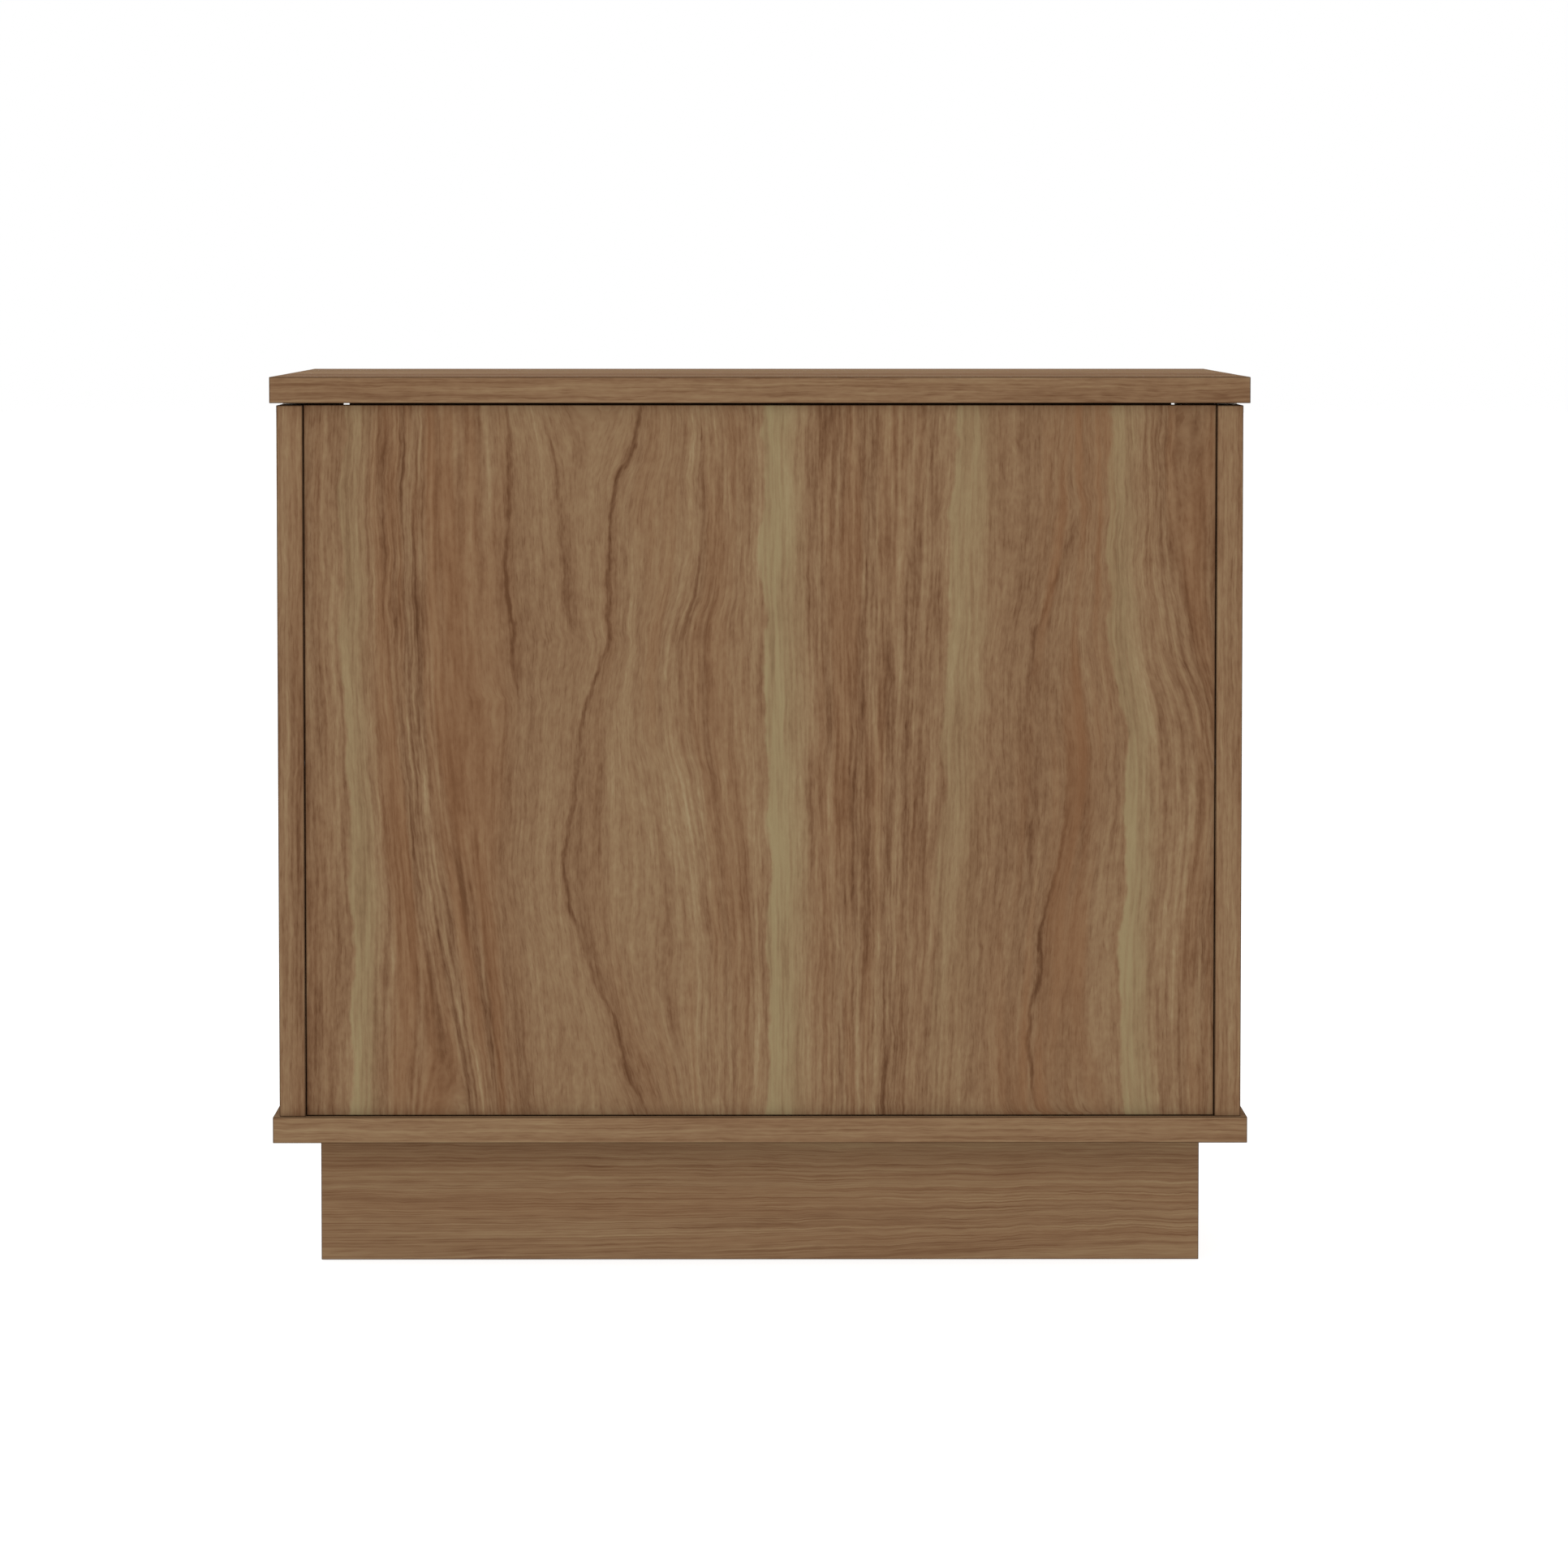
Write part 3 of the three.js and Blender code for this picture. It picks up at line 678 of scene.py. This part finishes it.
def flat_screw(origin, direction, radius, shank, length):
    """A countersunk screw with a cross recess, from the top of its head."""
    profile = (
        (0, 0),
        (0, radius - 0.12),
        (0.12, radius),
        (0.3, radius),
        (0.3 + radius - shank, shank),
        (length, shank),
        (length, 0),
    )
    return combined(
        lathe(profile, origin, direction, sides=40), cross_recess(origin, direction, 0.6 * radius, 0.8)
    )


def square_bar(centre, sections, corner, steps=5):
    """A square bar along Z through (height, half width) sections in metres, with rounded edges."""
    builder = bmesh.new()
    rings = []
    for height, half in sections:
        radius = min(corner, 0.6 * half)
        ring = []
        for quarter in range(4):
            for step in range(steps + 1):
                turn = math.pi / 2 * (quarter + step / steps)
                middle = math.pi / 2 * (quarter + 0.5)
                inset = (half - radius) * math.sqrt(2)
                x = centre[X] + inset * math.cos(middle) + radius * math.cos(turn)
                y = centre[Y] + inset * math.sin(middle) + radius * math.sin(turn)
                ring.append(builder.verts.new((x, y, height)))
        rings.append(ring)
    for first, second in zip(rings, rings[1:]):
        for step in range(len(first)):
            after = (step + 1) % len(first)
            builder.faces.new((first[step], first[after], second[after], second[step]))
    builder.faces.new(rings[0])
    builder.faces.new(rings[-1])
    bmesh.ops.recalc_face_normals(builder, faces=builder.faces)
    return builder


# ---------------------------------------------------------------- boards

# Where a board's own faces lie, so that its figure starts in the right place.
back_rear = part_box("back_panel")[1][Y]
door_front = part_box("door_panel")[0][Y]
side_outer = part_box("right_side_panel")[1][X]
top_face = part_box("top_panel")[1][Z]


def build_boards():
    boards = (
        # node, body, grain axis, end band axis, turn, start, seed, straight, lighter; lighter is
        # painted light and shade, a tone shift per board that evens out how brightly the lamps light
        # the top, the sides and the bottom
        ("back_panel", "cabinet", Z, X, 1, (-back_rear, 0.0), 3.0, 1.0, 0.0),
        ("door_panel", "door", Z, X, -1, (door_front, 0.0), 21.0, 1.0, 0.0),
        ("left_side_panel", "cabinet", Z, Y, 1, (side_outer + 0.08, 0.02), 31.0, 1.2, 0.06),
        ("right_side_panel", "cabinet", Z, Y, 1, (0.09 - side_outer, 0.01), 37.0, 1.2, 0.04),
        ("top_panel", "cabinet", X, Y, 1, (0.1 - top_face, 0.315), 43.0, 1.6, -0.05),
        ("bottom_panel", "cabinet", X, Y, -1, (-0.03, 0.3), 47.0, 2.0, 0.03),
        ("shelf_panel", "cabinet", X, Y, -1, (0.38, 0.33), 53.0, 1.6, 0.0),
    )
    for node, body, along, end_along, turn, start, seed, straight, lighter in boards:
        material = wood(node + "_wood", node, along, end_along, turn, start, seed, straight, lighter)
        board_piece(node, material, body)


def build_plinth():
    rails = (
        # node, grain axis, start, seed
        ("plinth_front_rail", X, (0.05, 0.315), 66.0),
        ("plinth_rear_rail", X, (-0.3, 0.315), 65.0),
        ("plinth_left_rail", Y, (0.18, 0.3), 67.0),
        ("plinth_right_rail", Y, (-0.35, 0.3), 68.0),
        ("plinth_middle_stretcher", Y, (-0.08, 0.3), 71.0),
    )
    for node, along, start, seed in rails:
        # The rails' tone is lifted by 0.06: painted light on the plinth.
        material = wood(node + "_wood", node, along, Z, 1, start, seed, 3.0, 0.06)
        board_piece(node, material, "cabinet")


build_boards()
build_plinth()

# ---------------------------------------------------------------- fittings

LEFTWARD, RIGHTWARD = (-1, 0, 0), (1, 0, 0)
FRONTWARD, REARWARD = (0, -1, 0), (0, 1, 0)
DOWNWARD, UPWARD = (0, 0, -1), (0, 0, 1)
SOFT = 35  # degrees between faces that still shade as one round surface

bar_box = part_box("handle_bar")
zinc = metal("zinc_plate", rgb(172, 174, 176), rgb(126, 128, 132), 0.38)
steel = metal("nickel_steel", rgb(150, 149, 147), rgb(112, 111, 110), 0.34, (900, 900, 60))
bronze = metal(
    "bronze_handle",
    rgb(86, 76, 66),
    rgb(56, 49, 43),
    0.42,
    brushed=(1100, 1100, 28),
    worn=(rgb(128, 112, 92), bar_box),
)
nylon = plastic("nylon", rgb(224, 222, 214), rgb(206, 202, 192), 0.5)
brown_plastic = plastic("brown_plastic", rgb(92, 68, 50), rgb(70, 50, 36), 0.5)
ferrite_black = ferrite()
beech_wood = beech()


def centre_of(node):
    low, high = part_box(node)
    return [(a + b) / 2 for a, b in zip(low, high)]


def keep_cad_shape(prefix, material):
    """Gives CAD nodes whose shape is right their finish."""
    for name, node in NODES.items():
        if name.startswith(prefix):
            node.data.materials.clear()
            node.data.materials.append(material)


def build_handle():
    (x, y, middle), (low, high) = centre_of("handle_bar"), bar_box
    half = (high[X] - low[X]) / 2
    end_shape = (
        # from the bar's end, share of the half width
        (0.0, 0.62),
        (0.4, 0.84),
        (1.1, 0.95),
        (2.2, 1.0),
        (7.6, 1.0),
        (8.0, 0.93),
        (8.5, 0.93),
        (8.9, 1.0),
    )
    foot = [(low[Z] + inset * MM, share * half) for inset, share in end_shape]
    head = [(high[Z] - inset * MM, share * half) for inset, share in reversed(end_shape)]
    bar = square_bar((x, y), foot + head, 1.6 * MM)
    new_piece("handle_bar_cast", bar, bronze, "door", ("handle_bar",), SOFT)

    for place in ("lower", "upper"):
        post_node = f"handle_post_{place}"
        post_low, post_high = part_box(post_node)
        on_door = (x, post_high[Y], (post_low[Z] + post_high[Z]) / 2)
        profile = (
            (10.3, 0), (10.3, 2.3), (0, 2.3), (0, 4.2), (0.3, 4.5), (1.8, 4.5), (2.4, 4.1), (3.2, 3.6),
            (5.0, 3.45), (15.5, 3.45), (17.4, 3.6), (18.4, 4.0), (19.2, 4.4), (20, 4.5), (20, 0),
        )
        post = lathe(profile, on_door, FRONTWARD)
        new_piece(post_node + "_turned", post, bronze, "door", (post_node,), SOFT)
        screw_node = f"handle_screw_{place}"
        screw_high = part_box(screw_node)[1]
        screw = pan_screw((x, screw_high[Y], on_door[Z]), FRONTWARD, 4.0, 2.25, 2.0, 28.2)
        new_piece(screw_node + "_head", screw, zinc, "door", (screw_node,), SOFT)


def build_cam_lock(node, face, inward, toward_bolt, bolt_axis):
    """A drum with a raised rim, a cross recess, an arrow notch and a pocket for the bolt's head."""
    profile = (
        (0.35, 0), (0.35, 5.3), (0, 5.6), (0, 6.9), (0.3, 7.2), (11.7, 7.2), (12, 6.9), (12, 0),
    )
    notch = Vector(face) + Vector(toward_bolt) * 6.2 * MM
    pocket = Vector(bolt_axis) - Vector(toward_bolt) * 1.8 * MM
    cutters = cross_recess(face, inward, 3.6, 3.2)
    cutters.append(bar_cutter(notch, inward, 0.9, (0.7, 0.7)))
    cutters.append(lathe(((0, 0), (0, 3.7), (12, 3.7), (12, 0)), pocket, toward_bolt, sides=32))
    drum = combined(lathe(profile, face, inward), cutters)
    new_piece(node + "_drum", drum, zinc, "cabinet", (node,), SOFT)


def build_cam_locks():
    for side, inward in (("left", LEFTWARD), ("right", RIGHTWARD)):
        for end in ("front", "rear"):
            node = f"top_cam_lock_{side}_{end}"
            low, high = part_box(node)
            middle = centre_of(node)
            bolt = centre_of(f"top_cam_bolt_{side}_{end}")
            face = (high[X] if side == "left" else low[X], middle[Y], middle[Z])
            build_cam_lock(node, face, inward, UPWARD, (bolt[X], bolt[Y], middle[Z]))
        node = f"back_cam_lock_{side}"
        low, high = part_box(node)
        middle = centre_of(node)
        bolt = centre_of(f"back_cam_bolt_{side}")
        build_cam_lock(
            node, (middle[X], low[Y], middle[Z]), REARWARD, inward, (middle[X], bolt[Y], bolt[Z])
        )


def build_shelf_supports():
    for side, outward, inward in (("left", LEFTWARD, RIGHTWARD), ("right", RIGHTWARD, LEFTWARD)):
        for end in ("front", "rear"):
            node = f"shelf_pin_{side}_{end}"
            low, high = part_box(node)
            middle_y = (low[Y] + high[Y]) / 2
            axis_z = low[Z] + 2.4 * MM
            far_x = low[X] if side == "left" else high[X]
            near_x = high[X] if side == "left" else low[X]
            profile = ((0, 0), (0, 1.8), (0.6, 2.4), (18.4, 2.4), (18.85, 2.0), (19, 1.2), (19, 0))
            pin = lathe(profile, (far_x, middle_y, axis_z), inward, sides=40)
            face_x = near_x + outward[X] * 9 * MM
            paddle_low = (min(near_x, face_x), low[Y], high[Z] - 3 * MM)
            paddle_high = (max(near_x, face_x), high[Y], high[Z])
            paddle = block(paddle_low, paddle_high, 0.35 * MM, 2.2 * MM)
            support = combined(pin, [paddle], "UNION")
            new_piece(node + "_pressed", support, steel, "cabinet", (node,), SOFT)


def build_pivots():
    x, y, _ = centre_of("bottom_pivot_pin")
    for place, flange, direction in (("bottom", 2.7, UPWARD), ("top", 1.0, DOWNWARD)):
        low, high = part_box(f"{place}_pivot_pin")
        start = (x, y, low[Z] if place == "bottom" else high[Z])
        end = 11 + flange
        profile = (
            (0, 0), (0, 2.5), (0.5, 3), (11, 3), (11, 6.3), (11.2, 6.5), (end - 0.3, 6.5), (end, 6.2),
            (end, 2.8), (end + 0.3, 2.5), (end + 11.4, 2.5), (end + 12, 1.9), (end + 12, 0),
        )
        pin = lathe(profile, start, direction)
        new_piece(f"{place}_pivot_turned", pin, steel, "cabinet", (f"{place}_pivot_pin",), SOFT)

        node = f"door_{place}_bush"
        low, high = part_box(node)
        mouth = (x, y, low[Z] if place == "bottom" else high[Z])
        profile = ((0.4, 2.8), (0, 3.2), (0, 3.8), (0.2, 4), (13.8, 4), (14, 3.8), (14, 2.8))
        bush = lathe(profile, mouth, direction, closed=True)
        new_piece(node + "_moulded", bush, brown_plastic, "door", (node,), SOFT)


def build_catch():
    low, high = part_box("catch_housing")
    magnet_low, magnet_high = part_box("catch_magnet")
    gap = 0.3 * MM
    pocket = block(
        (magnet_low[X] - gap, low[Y] - 1 * MM, magnet_low[Z] - gap),
        (magnet_high[X] + gap, magnet_high[Y] + gap, magnet_high[Z] + gap),
        0.0,
    )
    screw_y = high[Y] - 5 * MM
    cutters = [pocket]
    for name, screw_z in (("lower", low[Z] + 6 * MM), ("upper", high[Z] - 6 * MM)):
        sunk = (low[X] + 0.4 * MM, screw_y, screw_z)
        mouth = (low[X] - 0.5 * MM, screw_y, screw_z)
        profile = ((0, 0), (0, 3.2), (1.3, 2.9), (2.6, 1.75), (18, 1.75), (18, 0))
        cutters.append(lathe(profile, mouth, RIGHTWARD, sides=40))
        screw = flat_screw(sunk, RIGHTWARD, 2.7, 1.5, 15.4)
        new_piece(f"catch_screw_{name}", screw, zinc, "cabinet", smooth_degrees=SOFT)
    for rib in range(5):
        rib_z = low[Z] + (14 + 3 * rib) * MM
        cutters.append(bar_cutter((low[X], screw_y, rib_z), RIGHTWARD, 0.5, (3.2, 0.6)))
    housing = combined(block(low, high, 0.5 * MM, 1.6 * MM, X), cutters)
    new_piece(
        "catch_housing_moulded",
        housing,
        brown_plastic,
        "cabinet",
        ("catch_housing",),
        SOFT,
    )

    plate = 1.4 * MM
    inset = 0.5 * MM
    core_low = (magnet_low[X] + plate, magnet_low[Y] + inset, magnet_low[Z] + inset)
    core_high = (magnet_high[X] - plate, magnet_high[Y], magnet_high[Z] - inset)
    core = block(core_low, core_high, 0.25 * MM)
    new_piece("catch_magnet_core", core, ferrite_black, "cabinet", ("catch_magnet",), SOFT)
    for name, start in (("inner", magnet_low[X]), ("outer", magnet_high[X] - plate)):
        plate_low = (start, magnet_low[Y], magnet_low[Z])
        plate_high = (start + plate, magnet_high[Y], magnet_high[Z])
        pole = block(plate_low, plate_high, 0.2 * MM, 1.2 * MM, X)
        new_piece(f"catch_pole_{name}", pole, steel, "cabinet", smooth_degrees=SOFT)


def build_strike_plate():
    low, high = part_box("strike_plate")
    x, _, z = centre_of("strike_plate")
    mouth = (x, high[Y] + 0.5 * MM, z)
    profile = ((0, 0), (0, 3.1), (0.5, 3.1), (1.9, 1.7), (3, 1.7), (3, 0))
    sink = lathe(profile, mouth, FRONTWARD, sides=40)
    plate = combined(block(low, high, 0.25 * MM, 2.5 * MM, Y), [sink])
    new_piece("strike_plate_pressed", plate, steel, "door", ("strike_plate",), SOFT)
    screw = flat_screw((x, high[Y] - 0.05 * MM, z), FRONTWARD, 2.6, 1.5, 1.45)
    new_piece("strike_screw", screw, zinc, "door", smooth_degrees=SOFT)


def build_corner_blocks():
    for side in ("left", "right"):
        for end in ("front", "rear"):
            board_piece(f"plinth_corner_block_{side}_{end}", beech_wood, "cabinet", 0.8 * MM)


build_handle()
build_cam_locks()
build_shelf_supports()
build_pivots()
build_catch()
build_strike_plate()
build_corner_blocks()
for cad_fitting in ("top_cam_bolt", "back_cam_bolt", "base_screw", "plinth_screw"):
    keep_cad_shape(cad_fitting, zinc)
keep_cad_shape("top_spacer", nylon)
keep_cad_shape("back_dowel", beech_wood)

# ---------------------------------------------------------------- floor, light and camera


def build_floor():
    g = Graph("floor_white")
    place = g.split(g.add("ShaderNodeTexCoord").outputs["Object"])
    cloud = g.noise(g.vector(*[g.scaled(value, 3.0) for value in place]), 2.0)
    color = g.mix(cloud, (0.31, 0.31, 0.31, 1), (0.29, 0.29, 0.29, 1))
    material = g.finish(color, 0.7, **{"Emission Color": (1, 1, 1, 1), "Emission Strength": 0.82})
    builder = bmesh.new()
    reach = 30.0
    corners = [(-reach, -reach), (reach, -reach), (reach, reach), (-reach, reach)]
    builder.faces.new([builder.verts.new((x, y, -0.5 * MM)) for x, y in corners])
    mesh = bpy.data.meshes.new("floor")
    builder.to_mesh(mesh)
    builder.free()
    mesh.materials.append(material)
    floor = bpy.data.objects.new("floor", mesh)
    bpy.context.scene.collection.objects.link(floor)


def build_light():
    world = bpy.data.worlds.new("studio")
    world.use_nodes = True
    background = world.node_tree.nodes["Background"]
    background.inputs["Color"].default_value = (1, 1, 1, 1)
    background.inputs["Strength"].default_value = 1.0
    bpy.context.scene.world = world
    softboxes = (
        # name, place, size, watts
        ("softbox_rear_left", (2.2, 3.0, 2.6), 2.0, 12),
        ("softbox_front_right", (1.6, -3.2, 1.3), 2.0, 28),
        ("softbox_overhead", (0.0, 0.0, 3.2), 1.6, 5),
    )
    target = Vector((0, 0, 0.3))
    for name, place, size, watts in softboxes:
        lamp = bpy.data.lights.new(name, "AREA")
        lamp.shape = "SQUARE"
        lamp.size = size
        lamp.energy = watts
        light = bpy.data.objects.new(name, lamp)
        light.location = place
        light.rotation_euler = (target - light.location).to_track_quat("-Z", "Y").to_euler()
        bpy.context.scene.collection.objects.link(light)


CAMERA_PLACE = (0.0052, 4.5576, 0.6006)
CAMERA_LENS = 162.5  # mm, on a sensor 36 mm wide
CAMERA_DOWN = 4.0  # degrees below the horizon
CAMERA_ASIDE = 0.263  # degrees off the cabinet's middle plane


def build_camera():
    """Behind the cabinet, a little above it, looking slightly down, through a long lens."""
    data = bpy.data.cameras.new("camera")
    data.sensor_width = 36
    data.lens = CAMERA_LENS
    camera = bpy.data.objects.new("camera", data)
    camera.location = CAMERA_PLACE
    camera.rotation_euler = (math.radians(90 - CAMERA_DOWN), 0, math.radians(180 - CAMERA_ASIDE))
    bpy.context.scene.collection.objects.link(camera)
    bpy.context.scene.camera = camera
    bpy.context.scene.view_settings.view_transform = "Standard"


build_floor()
build_light()
build_camera()
